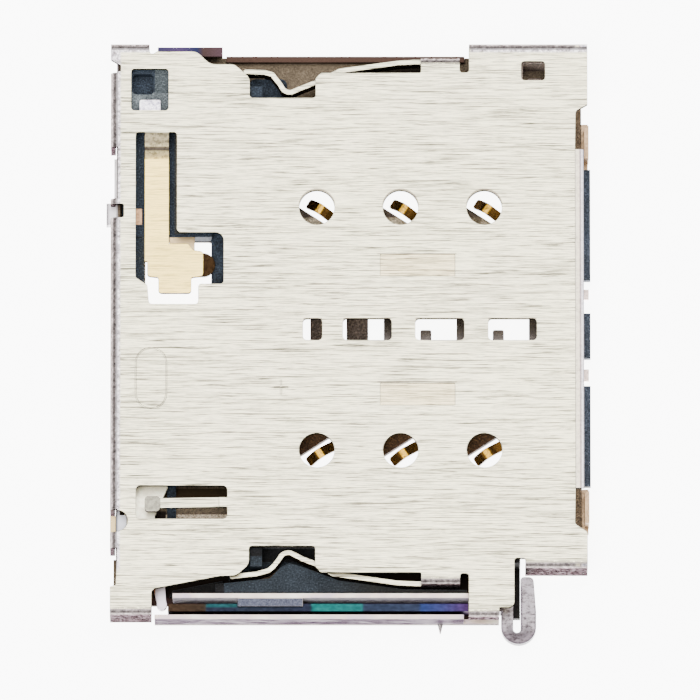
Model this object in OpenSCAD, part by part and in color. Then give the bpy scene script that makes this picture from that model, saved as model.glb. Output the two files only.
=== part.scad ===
// Card tray reader with side push eject. Millimetres. X runs to the tray mouth, Z away from the board.
// The origin is on the board face, under the middle of the six sight holes.

/* [Cover] */

// Height of the cover's top face above the board
cover_top = 1.4; // [1.35:0.05:1.6]
// Thickness of the cover sheet
sheet = 0.15; // [0.12:0.01:0.16]
// Outside radius of the cover's folds
fold_r = 0.22; // [0.2:0.01:0.26]
// Radius of the six sight holes over the contact points
sight_r = 0.535; // [0.4:0.005:0.6]

/* [Contacts] */

// Distance between neighbouring contact points along X
pitch = 2.54; // [2.5:0.01:2.58]
// Distance between the two rows of sight holes along Y
row_gap = 7.54; // [7.4:0.02:7.7]
// Distance between the two rows of contact points along Y
touch_gap = 7.6; // [7.54:0.02:7.66]
// Width of a contact beam
beam_width = 0.3; // [0.24:0.02:0.34]
// Thickness of the contact strip
strip = 0.1; // [0.08:0.01:0.12]
// Angle of the contact beams from the X axis
beam_angle = 33; // [30:1:36]
// Height of a free contact point above the board
apex_top = 0.82; // [0.7:0.02:0.9]

/* [Tray space] */

// Height of the moulded floor under the tray
floor_top = 0.27; // [0.24:0.01:0.3]
// Thickness of the bottom plate
plate = 0.12; // [0.1:0.01:0.14]

/* [Eject] */

// Underside of the eject lever above the board
lever_low = 0.42; // [0.4:0.01:0.46]
// Thickness of the eject lever
lever_thick = 0.28; // [0.2:0.02:0.3]
// Radius of the lever's pivot shaft
pivot_r = 0.3; // [0.25:0.01:0.34]
// Radial clearance between the lever and its shaft
pivot_gap = 0.03; // [0.02:0.01:0.06]
// Thickness of the push rod across its travel
rod_thick = 0.24; // [0.18:0.02:0.26]
// Free gap between the rod's end and the lever's nose
push_gap = 0.03; // [0.02:0.01:0.05]

/* [Hidden] */

$fn = 64;

arc_steps = 5;
far = 30;
cover_under = cover_top - sheet;
back_x = -8.58;
back_out = back_x - fold_r;
upper_y = 8.68;
lower_y = -8.62;
upper_out = upper_y + fold_r;
lower_out = lower_y - fold_r;
mouth_x = 5.3;
nick = 0.02;
wall_foot = 0.16;

// Rivet and lever
pivot = [-7.8, -6.3];
nose_r = 0.15;
nose_arm = 2.18;
rod_mid_y = -8.52;
rod_end_x = -7.05;
nose_x = rod_end_x - push_gap - nose_r;
nose_lean = asin((nose_x - pivot.x) / nose_arm);
nose = pivot + nose_arm * [sin(nose_lean), -cos(nose_lean)];
lever_top = lever_low + lever_thick;
head_low = lever_top + 0.03;
head_top = head_low + 0.16;
rod_low = 0.2;
rod_top = 0.85;
hook_low = 0.3;
hook_top = 0.62;
leg_inner = 3.632;
leg_width = 0.468;
leg_outer = leg_inner + leg_width;
slot_width = 0.225;
slot_left = leg_inner - slot_width;
bend_r = 0.53;
bend = [leg_outer - bend_r, -9.066];
slot_foot = bend.y - 0.074;
latch_y = 3.68;
latch_half = 0.36;
latch_slot = 0.21;
channel_in = -8.1;
channel_out = -8.9;
channel_top = 0.95;

// Floor windows: their near edge from the beam's centre line, upper and lower row
window_near_up = 0.21;
window_near_low = 0.36;

// Contact beam side view, along the beam from its root
apex_s = 1.55;
tip_s = 1.93;
row_y = row_gap / 2;
tail_half = 0.17;
touch_shift = [0.09, 0.07];
tail_up = [-0.34, 1.87, 4.07];
tail_low = [-1.3, 0.77, 2.97];
tail_end_up = -0.15;
tail_end_low = 0.25;
root_shift = apex_s * [cos(beam_angle), sin(beam_angle)];

// Detect switch
foot_low = 0.8;
term_low = 0.6;
bar_top = 0.75;

// Corner points with radii become a closed outline with arcs at the corners
function unit(v) = v / norm(v);
function xy(p) = [p[0], p[1]];
function angle_of(v) = atan2(v.y, v.x);
function short_turn(t) = t > 180 ? t - 360 : t < -180 ? t + 360 : t;
function arc(o, r, a, turn, n) = [for (i = [0:n]) o + r * [cos(a + turn * i / n), sin(a + turn * i / n)]];
function corner(a, b, c, r) = r <= 0 ? [b] :
    let (u = unit(a - b), v = unit(c - b), half = acos(u * v) / 2, away = r / tan(half),
        o = b + unit(u + v) * r / sin(half), from = angle_of(b + u * away - o), to = angle_of(b + v * away - o))
    arc(o, r, from, short_turn(to - from), arc_steps);
function outline(p) = [for (i = [0:len(p) - 1])
    each corner(xy(p[(i + len(p) - 1) % len(p)]), xy(p[i]), xy(p[(i + 1) % len(p)]), len(p[i]) > 2 ? p[i][2] : 0)];

module slab(points, low, high) {
    translate([0, 0, low])
        linear_extrude(high - low)
            polygon(outline(points));
}

module block(x0, y0, z0, x1, y1, z1) {
    translate([x0, y0, z0])
        cube([x1 - x0, y1 - y0, z1 - z0]);
}

function box_points(x0, y0, x1, y1, r) = [[x0, y0, r], [x1, y0, r], [x1, y1, r], [x0, y1, r]];

module pill(x0, y0, x1, y1, r, low, high) {
    slab(box_points(x0, y0, x1, y1, r), low, high);
}

// A strip of constant width along a line of points, rounded at its bends and ends
module ribbon(path, width) {
    for (i = [0:len(path) - 1])
        translate(path[i])
            circle(d = width);
    for (i = [0:len(path) - 2])
        translate(path[i])
            rotate(angle_of(path[i + 1] - path[i]))
                translate([0, -width / 2])
                    square([norm(path[i + 1] - path[i]), width]);
}

// Cross-section of a sheet edge folded down by a quarter turn, starting at the origin
module fold_section(drop) {
    intersection() {
        difference() {
            translate([0, -fold_r])
                circle(r = fold_r);
            translate([0, -fold_r])
                circle(r = fold_r - sheet);
        }
        translate([0, -fold_r])
            square([fold_r, fold_r]);
    }
    translate([fold_r - sheet, -drop])
        square([sheet, drop - fold_r]);
}

// A folded wall from a to b along the plate's edge, on the left of that direction
module wall(a, b, foot) {
    along = b - a;
    translate([a.x, a.y, cover_top])
        rotate(angle_of(along))
            rotate([90, 0, 90])
                linear_extrude(norm(along))
                    fold_section(cover_top - foot);
}

spring_up_y = 8.24;
spring_low_y = -7.68;
cover_edge = [[-8.8, upper_y], [-7.63, upper_y], [-7.6, 8.57, 0.04], [-7.5, 8.57, 0.04], [-7.4, 8.64, 0.08], [-6.2, 8.64, 0.35],
    [-5.78, 8.24, 0.35], [-5.05, 8.24, 0.3], [-4.58, 7.82, 0.3], [-4.58, 7.19, 0.09], [-2.58, 7.19, 0.09],
    [-2.58, 7.8, 0.12], [-2.42, 7.97, 0.12], [0.62, 7.97, 0.05], [0.62, spring_up_y], [1.8, spring_up_y],
    [1.8, 7.98, 0.08], [2.08, 7.98, 0.08], [2.08, upper_y], [5.68, upper_y], [5.68, 6.98, 0.06],
    [5.32, 6.78, 0.14], [mouth_x, 5.6], [mouth_x, -4.93], [5.28, -6.05, 0.14], [5.66, -6.3, 0.14],
    [5.66, -7.18], [3.77, -7.18], [3.77, -7.1, 0.05], [3.44, -7.1, 0.1], [3.44, -8.63, 0.18],
    [2.98, -8.63, 0.05], [2.98, -8.69], [2.06, -8.69], [2.06, -7.58, 0.08], [1.8, -7.58, 0.08],
    [1.8, spring_low_y], [0.62, spring_low_y], [0.62, -7.55, 0.05], [-2.42, -7.55, 0.12], [-2.59, -7.36, 0.12],
    [-2.59, -6.73, 0.09], [-4.59, -6.73, 0.09], [-4.59, -7.3, 0.3], [-4.97, -7.64, 0.3], [-5.46, -7.66, 0.3],
    [-7.44, -8.04, 0.1], [-7.54, -8.14, 0.08], [-7.54, lower_y], [-8.8, lower_y], [-8.8, -7.99, 0.05],
    [-8.62, -7.93], [back_x, -6.78], [back_x, 8.02], [-8.5, 8.02], [-8.5, 8.2], [-8.8, 8.38, 0.05]];

// Side springs: centre lines of the sheet strips, which stand on edge
spring_top = 1.05;
spring_foot = 0.5;
spring_up = concat([[0.9, 8.385], [0.4, 8.385], [-0.08, 8.36], [-1.84, 8.11], [-2.6, 7.74], [-3.05, 7.56]],
    arc([-3.36, 7.72], 0.28, -80, -85, 5), [[-3.9, 8.0], [-4.15, 8.07], [-4.7, 8.08]]);
spring_low = concat([[0.9, -7.825], [0.4, -7.825], [-0.12, -7.8], [-2.04, -7.52], [-2.6, -7.2], [-2.95, -7.07]],
    arc([-3.4, -7.14], 0.28, 75, 85, 5), [[-3.84, -7.28], [-4.0, -7.42], [-4.36, -7.52], [-5.1, -7.6]]);

detect_opening = [[-8.04, 6.12, 0.1], [-6.79, 6.12, 0.1], [-6.79, 3.0, 0.12], [-5.37, 3.0, 0.25], [-5.37, 1.4, 0.1],
    [-6.14, 1.4, 0.1], [-6.14, 0.77, 0.1], [-7.63, 0.77, 0.1], [-7.68, 1.36, 0.1], [-8.04, 1.6, 0.1]];

module cover_cuts() {
    low = cover_under - nick;
    high = cover_top + nick;
    difference() {
        pill(-8.18, 6.8, -7.05, 8.09, 0.1, low, high);
        pill(-7.93, 6.5, -7.29, 7.13, 0.06, 0, far);
    }
    pill(3.67, 7.74, 4.39, 8.33, 0.1, low, high);
    slab(detect_opening, low, high);
    difference() {
        pill(-8.02, -5.89, -5.25, -4.86, 0.14, low, high);
        pill(-5.5, -5.52, -5, -5.22, 0.02, 0, far);
    }
    for (i = [-1:1], j = [-1, 1])
        translate([i * pitch, j * row_y, low])
            cylinder(r = sight_r, h = high - low);
    for (x = [[-2.96, -2.38], [-1.75, -0.27], [0.45, 1.93], [2.66, 4.13]])
        pill(x[0], -0.35, x[1], 0.32, 0.12, low, high);
    pill(-far, latch_y - latch_slot, back_x + 0.18, latch_y + latch_slot, 0.06, low, high);
    translate([back_x, -5.94, low])
        cylinder(r = 0.32, h = high - low);
}

module cover_marks() {
    depth = cover_top - 0.02;
    pill(-0.62, 1.64, 1.65, 2.32, 0.03, depth, cover_top + nick);
    pill(-0.62, -2.37, 1.65, -1.69, 0.03, depth, cover_top + nick);
    difference() {
        pill(-8.05, -2.49, -7.08, -0.57, 0.48, depth, cover_top + nick);
        pill(-8.01, -2.45, -7.12, -0.61, 0.44, 0, far);
    }
    block(-3.85, -1.84, depth, -3.41, -1.79, cover_top + nick);
    block(-3.65, -2.03, depth, -3.6, -1.59, cover_top + nick);
}

module detect_arm() {
    translate([-7.03, 0, 0])
        rotate([90, 0, -90])
            linear_extrude(0.74)
                polygon([[-6.2, cover_top], [-6.05, cover_top], [-5.4, 1.15], [-2.7, foot_low + sheet],
                    [-2.2, foot_low + sheet], [-2.2, foot_low], [-2.72, foot_low], [-5.42, 1.0],
                    [-6.07, cover_under], [-6.2, cover_under]]);
    slab([[-7.69, 2.75, 0.1], [-6.45, 2.75, 0.1], [-6.3, 2.55, 0.1], [-5.99, 2.5, 0.1], [-5.99, 1.74, 0.1],
        [-6.35, 1.7, 0.05], [-6.35, 1.21, 0.1], [-7.35, 1.21, 0.1], [-7.35, 1.7, 0.05], [-7.69, 1.74, 0.1]],
        foot_low, foot_low + sheet);
}

module hold_finger() {
    translate([0, -5.22, 0])
        rotate([90, 0, 0])
            linear_extrude(0.3)
                polygon([[-5.1, cover_top], [-5.25, cover_top], [-7.35, 1.24], [-7.35, 1.09],
                    [-5.27, cover_under], [-5.1, cover_under]]);
    pill(-7.75, -5.63, -7.29, -5.16, 0.1, 1.09, 1.24);
}

module shell() {
    color([0.83, 0.81, 0.76]) {
        difference() {
            slab(cover_edge, cover_under, cover_top);
            cover_cuts();
            cover_marks();
        }
        difference() {
            union() {
                wall([back_x, 5.67], [back_x, 7.98], wall_foot);
                wall([back_x, -6.78], [back_x, 4.06], wall_foot);
            }
            block(-far, -6.29, -nick, far, -5.59, far);
            block(-far, latch_y - latch_half, 0.45, back_x, latch_y + latch_half, 0.95);
            block(-far, latch_y - latch_slot, 0.9, back_x, latch_y + latch_slot, far);
        }
        wall([-8.8, upper_y], [-7.63, upper_y], wall_foot);
        wall([2.08, upper_y], [5.68, upper_y], wall_foot);
        wall([0.62, spring_up_y], [1.8, spring_up_y], spring_foot);
        wall([1.8, spring_low_y], [0.62, spring_low_y], spring_foot);
        wall([5.66, -7.18], [3.77, -7.18], wall_foot);
        wall([2.98, -8.69], [2.06, -8.69], 0.9);
        wall([-7.54, lower_y], [-8.8, lower_y], wall_foot);
        for (path = [spring_up, spring_low])
            translate([0, 0, spring_foot])
                linear_extrude(spring_top - spring_foot)
                    ribbon(path, sheet);
        block(mouth_x, -4.93, 1.27, 5.47, 5.6, 1.37);
        block(5.47, -4.93, 1.28, 5.56, 5.6, 1.34);
        detect_arm();
        hold_finger();
    }
}

// One contact, drawn with its beam along X from the root, apex above apex_s
module beam_bar() {
    intersection() {
        translate([0, beam_width / 2, 0])
            rotate([90, 0, 0])
                linear_extrude(beam_width)
                    ribbon(concat([[0, strip / 2], [0.12, strip / 2], [1.3, apex_top - 0.14]],
                        arc([apex_s, apex_top - 0.3], 0.25, 125, -70, 4), [[tip_s, apex_top - 0.32]]), strip);
        pill(-1, -beam_width / 2, tip_s + strip / 2, beam_width / 2, 0.07, -nick, far);
    }
}

// Flat part of a contact in the board plane, from the root to the solder tail
module contact_flat(col, side) {
    tail = side > 0 ? tail_up[col] : tail_low[col];
    tail_end = side > 0 ? tail_end_up : tail_end_low;
    root = contact_root(col, side);
    linear_extrude(strip) {
        ribbon([[root.x, root.y], [root.x, side * 1.2], [tail, side * 0.75]], beam_width);
        translate([tail, 0])
            polygon(outline([[-tail_half, side * 0.92], [-tail_half, tail_end, 0.06],
                [tail_half, tail_end, 0.06], [tail_half, side * 0.92]]));
    }
}

function contact_root(col, side) = touch_shift
    + [(col - 1) * pitch + root_shift.x, side * (touch_gap / 2 - root_shift.y)];

module contact(col, side) {
    root = contact_root(col, side);
    color([0.85, 0.66, 0.32]) {
        contact_flat(col, side);
        translate([root.x, root.y, 0])
            rotate(180 - side * beam_angle)
                beam_bar();
    }
}

// Opening in the moulded floor round a contact beam
module beam_window(col, side) {
    root = contact_root(col, side);
    translate([root.x, root.y, -nick])
        rotate(180 - side * beam_angle)
            translate([-0.06, side > 0 ? -0.85 : -window_near_low, 0])
                cube([2.5, 0.85 + (side > 0 ? window_near_up : window_near_low), 1]);
}

module contact_1() { contact(0, 1); }
module contact_2() { contact(1, 1); }
module contact_3() { contact(2, 1); }
module contact_4() { contact(0, -1); }
module contact_5() { contact(1, -1); }
module contact_6() { contact(2, -1); }

plate_end = 5.08;
plate_edge = [[-8.63, -8.6], [-7.45, -8.6], [-7.45, channel_out], [2.98, channel_out], [2.98, -7.22],
    [plate_end, -7.22], [plate_end, 8.72], [-5.41, 8.72], [-5.41, 8.87], [-7.38, 8.87], [-7.38, 8.72], [-8.63, 8.72]];
plate_window = box_points(-5, -6.4, 4.8, 6.4, 0.3);
detect_window = box_points(-7.75, 0.75, -5.72, 2.98, 0.1);

module bottom_plate() {
    color([0.6, 0.55, 0.5]) {
        difference() {
            slab(plate_edge, 0, plate);
            slab(plate_window, -nick, 1);
            slab(detect_window, -nick, 1);
            block(-7.54, channel_out + 0.14, -nick, rod_end_x, -8.32, 1);
            block(3.4, -far, -nick, 3.78, -6.85, 1);
            translate([pivot.x, pivot.y, -nick])
                cylinder(r = 0.2, h = 1);
        }
        block(-8.63, 2.6, 0, -8.51, 4.7, channel_top);
        block(-8.63, -6.7, 0, -8.51, -5.2, channel_top);
        block(-8.93, latch_y - 0.33, 0.5, -8.6, latch_y + 0.33, 0.88);
        block(-8.8, -6.2, 0.5, -8.6, -5.7, 0.9);
        block(-8.63, -6.2, channel_top - plate, -8.3, -5.68, channel_top);
        block(-8.7, 4.2, 0, -8.6, 5.5, 0.4);
        block(-8.7, -7.75, 0, -8.6, -6.95, 0.4);
        block(-7.38, 8.75, 0, -5.41, 8.87, channel_top);
        block(-7.38, 8.58, channel_top - plate, -5.41, 8.87, channel_top);
        block(-5.3, 8.54, 0, 1.95, 8.72, 0.35);
        block(-6.9, channel_in - 0.14, 0, 2.06, channel_in, channel_top);
        block(-4.93, channel_in - 0.4, channel_top - 0.06, -2.96, channel_in, channel_top);
        block(-7.45, channel_out, 0, 1.91, channel_out + 0.14, channel_top);
        block(1.91, channel_out, 0, 2.98, channel_out + 0.14, 0.26);
    }
}

module detect_flat() {
    translate([0, 0, term_low])
        linear_extrude(strip) {
            polygon([[-7.02, 1.77], [-6, 1.77], [-6, 2.51], [-6.25, 2.51], [-6.25, 3.5], [-7.02, 3.5]]);
            translate([-6, 2.14])
                circle(r = 0.37);
        }
}

module detect_terminal() {
    color([0.45, 0.3, 0.16])
        detect_flat();
}

module detect_return() {
    color([0.75, 0.5, 0.3])
        block(-8.1, 3.38, plate, -7.85, 3.88, bar_top);
}

leg_gap = [3.62, 3.78];
rail_edge = [[-5.6, -8.06], [2.0, -8.06], [2.0, -7.98], [0.1, -7.96], [-1.9, -7.68], [-2.55, -7.42, 0.1], [-3.1, -7.22, 0.1],
    [-3.4, -7.15, 0.15], [-3.66, -7.3, 0.12], [-3.95, -7.62, 0.1], [-5.6, -7.8]];

module base() {
    color([0.2, 0.22, 0.27])
        difference() {
            union() {
                slab(plate_window, 0, floor_top);
                pill(-5.2, -7.2, 5.5, 7.4, 0.1, plate, floor_top);
                block(plate_end, -6.5, 0, 5.5, 6.9, floor_top);
                block(5.4, 1.76, 0, 5.77, 5.2, floor_top);
                block(5.4, -0.66, 0, 5.77, 0.73, floor_top);
                block(5.4, -4.64, 0, 5.77, -1.53, floor_top);
                slab(rail_edge, plate, 0.85);
                slab([[-7.0, -8.08], [-5.4, -8.08], [-5.4, -7.6], [-6.9, -7.9]], plate, 0.36);
                block(3.4, -8.74, 0, 3.62, -7.0, floor_top);
                block(-5.2, -8, plate, -4.4, -7, floor_top);
                difference() {
                    block(2.1, 7.3, plate, 5.1, 8.6, 1.1);
                    pill(3.72, 7.62, 4.5, 8.32, 0.08, 0, 2);
                }
                pill(3.86, 7.5, 4.3, 8.02, 0.05, plate, 0.4);
                pill(-4.6, 7.0, -3.45, 8.0, 0.2, plate, 0.42);
                block(-4.55, 7.1, plate, -4.2, 7.6, 1.15);
                block(-4.55, -7.3, plate, -4.2, -6.75, 1.15);
                block(-0.8, -7.3, plate, 2.4, -6.95, 1.15);
                block(3.4, -7.2, plate, 5.2, -6.95, 1.15);
                block(-8.45, 6.25, plate, -6.7, 8.5, 1.1);
                block(-8.45, 3, plate, -5.72, 6.4, bar_top);
                block(-5.75, 1.3, plate, -5.1, 6.4, floor_top + 0.1);
                block(-8.45, 1.7, plate, -7.78, 3.1, 0.65);
                slab([[-7.08, -6.1], [-6.81, -6.1], [-6.81, -4.5], [-5.1, -4.5], [-5.1, -4.2], [-7.08, -4.2]],
                    plate, 0.36);
            }
            for (col = [0:2], side = [-1, 1]) {
                beam_window(col, side);
                contact_flat(col, side);
            }
            for (x = [[-3, -2.74], [-1.75, -1.64], [-0.98, -0.2], [0.45, 2], [2.66, 4.2]])
                block(x[0], -0.42, -nick, x[1], 0.66, 1);
            detect_flat();
            block(-8.1, 3.38, plate, -7.85, 3.88, far);
            pill(-8.14, 7.36, -7.5, 8.0, 0.12, 0.7, far);
            block(leg_gap[0], -far, -nick, leg_gap[1], -6.85, far);
            block(5.1, 5.22, -nick, 5.9, 6.64, 0.2);
            block(5.1, -6.1, -nick, 5.9, -4.72, 0.2);
            block(5.1, 1.2, -nick, 5.9, 1.5, 0.12);
            block(5.1, -1.34, -nick, 5.9, -0.98, 0.12);
        }
}

module front_tab(y0, y1) {
    color([0.78, 0.72, 0.62]) {
        block(5.1, y0, 0, 5.7, y1, 0.15);
        block(5.58, y0 + 0.2, 0, 5.72, y1 - 0.2, 0.85);
    }
}

module front_tab_upper() { front_tab(5.22, 6.64); }
module front_tab_lower() { front_tab(-6.1, -4.72); }

module front_tail(y0, y1) {
    color([0.85, 0.7, 0.6])
        block(5.1, y0, 0, 5.72, y1, 0.12);
}

module front_tail_upper() { front_tail(1.2, 1.5); }
module front_tail_lower() { front_tail(-1.34, -0.98); }

module eject_rod() {
    color([0.25, 0.3, 0.5]) {
        block(rod_end_x, rod_mid_y - rod_thick / 2, rod_low, 3.1, rod_mid_y + rod_thick / 2, rod_top);
        translate([0, 0, hook_low])
            linear_extrude(hook_top - hook_low)
                difference() {
                    union() {
                        translate(bend)
                            circle(r = bend_r);
                        translate([2.9, rod_mid_y - rod_thick / 2])
                            square([slot_left - 2.9, rod_thick]);
                        translate([bend.x - bend_r, bend.y])
                            square([slot_left - bend.x + bend_r, rod_mid_y - bend.y]);
                        polygon(outline([[leg_inner, bend.y], [leg_outer, bend.y], [leg_outer, -8.6],
                            [leg_outer - 0.08, -7.53, 0.15], [leg_inner, -7.53, 0.1]]));
                    }
                    translate([slot_left, slot_foot])
                        square([slot_width, 3]);
                    translate([slot_left + slot_width / 2, slot_foot])
                        circle(d = slot_width);
                }
    }
}

module eject_lever() {
    color([0.8, 0.74, 0.64])
        translate([0, 0, lever_low])
            linear_extrude(lever_thick)
                difference() {
                    union() {
                        polygon(outline([[-8.4, -4.6, 0.3], [-8.34, -6.3, 0.2], [-8.0, -6.9, 0.2], [-7.55, -7.6, 0.2],
                            [nose.x - 0.13, nose.y], [nose.x + 0.13, nose.y], [-7.15, -7.5, 0.1],
                            [-7.24, -6.4, 0.2], [-7.46, -5.69, 0.1], [-7.06, -4.76, 0.15], [-7.1, -4.2, 0.25],
                            [-7.8, -3.2, 0.4], [-7.95, 0.7, 0.15], [-8.08, 1.0, 0.1], [-8.36, 1.0, 0.1]]));
                        translate(nose)
                            circle(r = nose_r);
                    }
                    translate(pivot)
                        circle(r = pivot_r + pivot_gap);
                }
}

module lever_pivot() {
    color([0.66, 0.64, 0.66])
        translate([pivot.x, pivot.y, 0]) {
            cylinder(r = 0.2, h = plate);
            translate([0, 0, plate])
                cylinder(r = 0.46, h = lever_low - 0.02 - plate);
            translate([0, 0, plate])
                cylinder(r = pivot_r, h = head_low - plate);
            translate([0, 0, head_low])
                cylinder(r = 0.46, h = head_top - head_low);
        }
}

shell();
base();
bottom_plate();
contact_1();
contact_2();
contact_3();
contact_4();
contact_5();
contact_6();
detect_terminal();
detect_return();
eject_rod();
eject_lever();
lever_pivot();
front_tab_upper();
front_tab_lower();
front_tail_upper();
front_tail_lower();
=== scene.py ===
import math
from functools import cached_property

import bmesh
import bpy
from mathutils import Matrix, Vector


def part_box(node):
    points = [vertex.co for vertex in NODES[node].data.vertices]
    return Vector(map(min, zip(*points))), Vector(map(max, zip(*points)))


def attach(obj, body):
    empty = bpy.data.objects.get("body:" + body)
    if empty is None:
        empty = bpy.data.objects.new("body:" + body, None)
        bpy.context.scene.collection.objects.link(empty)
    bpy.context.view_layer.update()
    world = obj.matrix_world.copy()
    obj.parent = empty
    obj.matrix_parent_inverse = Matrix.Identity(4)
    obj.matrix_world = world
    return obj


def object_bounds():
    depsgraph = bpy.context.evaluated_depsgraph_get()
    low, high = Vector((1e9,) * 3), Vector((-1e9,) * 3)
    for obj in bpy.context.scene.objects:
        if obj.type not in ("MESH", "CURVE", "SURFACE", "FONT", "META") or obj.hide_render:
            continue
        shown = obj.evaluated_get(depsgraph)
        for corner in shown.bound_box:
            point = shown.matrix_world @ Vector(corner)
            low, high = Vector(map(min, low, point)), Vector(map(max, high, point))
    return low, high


bl_info = {
    "name": "Card tray reader",
    "version": (1, 0, 0),
    "blender": (4, 5, 0),
    "location": "View3D > Sidebar > Reader",
    "description": "Dresses the card tray reader with its sheet metal, moulding and plated finishes",
    "category": "Object",
}

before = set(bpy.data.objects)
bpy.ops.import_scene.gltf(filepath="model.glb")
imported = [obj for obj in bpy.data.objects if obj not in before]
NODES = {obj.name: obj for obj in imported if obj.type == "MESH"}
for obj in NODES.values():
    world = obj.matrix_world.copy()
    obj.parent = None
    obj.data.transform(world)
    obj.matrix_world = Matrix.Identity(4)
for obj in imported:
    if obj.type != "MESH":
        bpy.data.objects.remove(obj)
CAD_LOW, CAD_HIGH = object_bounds()
MM = 0.001
WHITE = (1.0, 1.0, 1.0)

# Heights and thicknesses in millimetres.
COVER_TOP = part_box("shell")[1].z / MM
SHEET = 0.15
STAMP_DEPTH = 0.04
# Paint for the seen side stops between these heights above the board face.
UNDERSIDE = (0.02, 0.06)

# Zones of the part are an X range and a Y range, both in millimetres.
STAMPED_FIELD = ((-0.75, 1.8), (-2.6, 2.5))
STAMP_EDGES_Y = ((2.315, 2.335), (-1.66, -1.64))
STAMP_X = (-0.70, 1.69)
HOLE_PITCH = 2.54
HOLE_ROW = 3.8
HOLE_RIM = (0.5, 0.556)
HOLE_RIM_PARTS_Y = ((3.95, 4.5), (-3.65, -3.1))
HOLE_RIM_FADE = 0.15
WINDOWS_X = ((-2.93, -2.40), (-1.72, -0.32), (0.47, 1.89), (2.68, 4.10))
WINDOW_EDGE_Y = (0.28, 0.335)
FINE_LINE = 0.012
ARM_BLADE = ((-7.9, -6.9), (1.62, 6.1))
ARM_FOOT = ((-7.6, -5.6), (1.62, 2.9))
ARM_TIP = ((-7.5, -6.2), (0.95, 1.65))
ARM_ROOT_Y = 5.3
CATCH = ((-7.93, -7.29), (6.82, 7.13))
LIP_X = (5.28, 5.58)
UPPER_BEND_Y = (8.58, 8.64)
REAR_BEND_X = (-8.47, -8.53)

# Zones of the moulding that lie in a window or a gap, with the colour seen there; the near-black ones are
# painted shade.
HOUSING_ZONES = (
    ((-3.4, 3.4), (-4.6, -3.0), (0.050, 0.026, 0.012)),  # lower contacts
    ((0.2, 4.4), (-0.6, 0.6), (0.020, 0.017, 0.017)),  # middle windows
    ((-8.3, -6.9), (6.6, 7.42), (0.125, 0.145, 0.155)),  # catch window
    ((-7.45, -6.9), (7.42, 8.3), (0.065, 0.078, 0.085)),  # its upper right corner
    ((-6.85, -6.5), (3.1, 6.4), (0.04, 0.04, 0.035)),  # beside the detect arm
    # The next four zones are painted shade, near-black where the moulding lies in shade.
    ((-4.7, -2.4), (-6.98, -6.6), (0.006, 0.006, 0.007)),  # above the lower spring
    ((-7.6, -5.6), (-8.1, -7.6), (0.006, 0.006, 0.007)),  # rear end of the rod's gap
    ((-5.7, -5.36), (-8.1, -7.5), (0.006, 0.006, 0.007)),  # step before the spring
    ((3.25, 3.85), (-9.2, -6.9), (0.008, 0.006, 0.006)),  # behind the hook
    ((3.6, 4.5), (7.8, 8.75), (0.30, 0.235, 0.20)),  # upper right window
)
UPPER_CONTACT_ROW = ((-3.4, 3.4), (3.0, 3.70))
TAB_ENDS_Y = (-4.7, 5.25)
MOUTH_FACE_X = (5.25, 5.35)

# In the finger slot the floor gets painted shade in the upper zone and painted light in the lower zone.
FINGER_SLOT_UPPER = ((-7.15, -5.1), (-5.26, -4.7))
FINGER_SLOT_LOWER = ((-7.15, -5.1), (-6.0, -5.5))
FLOOR_SHADE = (
    ((-7.5, -4.4), (-8.1, -7.2)),  # rear end of the rod's gap
    ((-7.6, -7.13), (-6.1, -5.4)),  # by the finger's pad
    ((-1.5, 2.4), (-8.1, -6.8)),  # right part of the lower opening
    ((-1.0, 0.62), (7.9, 8.42)),  # right part of the upper opening
)
CHANNEL_Y = (-7.9, -7.95)
CHANNEL_Z = (0.13, 0.15)
CORNER_TINT_X = (-7.4, -5.4)
REAR_LUG_X = (-8.9, -8.55)
REAR_TAB_X = (-8.8, -8.55)
LEVER_ARM_X = (-7.53, -7.29)

# Bands of painted reflection and painted shade run along the rod between these X places; the dark patch is
# painted shade on the rod's -Y side.
ROD_REFLECTIONS_X = (-7.1, 3.1)
ROD_DARK_PATCH = ((-5.88, -4.95), (-8.7, -8.53))
HOOK_START_X = (2.5, 2.95)
HOOK_MIDDLE = (3.57, -9.066)

CONTACT_COUNT = 6
# The nib's place is counted from the lower edge of the floor plate.
NIB_PLACE = (1.2, -0.14, 0.1)
NIB_RADII = (0.09, 0.012)
NIB_LENGTH = 0.3

# Where on the cover the middle of the picture lies, in millimetres.
PHOTO_MIDDLE = (-1.534, -0.661)
PHOTO_PIXELS = 700
PIXELS_PER_MM = 32.99
# Half the floor's side in metres, and its gap below the board face in millimetres.
STAGE_HALF = 0.35
STAGE_GAP = 0.05
STAGE_GLOW = 8.0
SKY_GLOW = 0.7
# Name, place and width in metres, and power in watts.
LAMPS = (
    ("stage_key", (-0.10, -0.16, 0.34), 0.20, 1.6),
    ("stage_fill", (0.16, 0.18, 0.36), 0.24, 0.65),
    ("stage_top", (0.0, 0.06, 0.5), 0.30, 1.65),
)


def colour_prop(name, description, default):
    return bpy.props.FloatVectorProperty(
        name=name, description=description, default=default, size=3, min=0.0, max=1.0, subtype="COLOR")


def length_prop(name, description, default):
    return bpy.props.FloatProperty(
        name=name, description=description, default=default, min=0.0, unit="LENGTH", precision=6)


class ReaderFinish(bpy.types.PropertyGroup):
    cover: colour_prop("Cover", "Colour of the brushed cover sheet", (1.0, 0.93, 0.67))
    # The folds' colour is set darker than the cover's, partly as painted shade.
    fold: colour_prop("Folds", "Colour of the drawn folds and walls", (0.18, 0.155, 0.15))
    arm: colour_prop("Detect arm", "Tint of the detect arm", (1.0, 0.75, 0.24))
    housing: colour_prop("Housing", "Colour of the moulded base", (0.023, 0.032, 0.046))
    floor: colour_prop("Floor plate", "Colour of the metal floor", (0.078, 0.060, 0.041))
    rim: colour_prop("Channel walls", "Colour of the upturned channel walls", (0.68, 0.55, 0.48))
    gold: colour_prop("Contacts", "Colour of the plated contacts", (0.52, 0.29, 0.028))
    lever: colour_prop("Lever", "Colour of the eject lever", (1.0, 0.93, 0.72))


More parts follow.
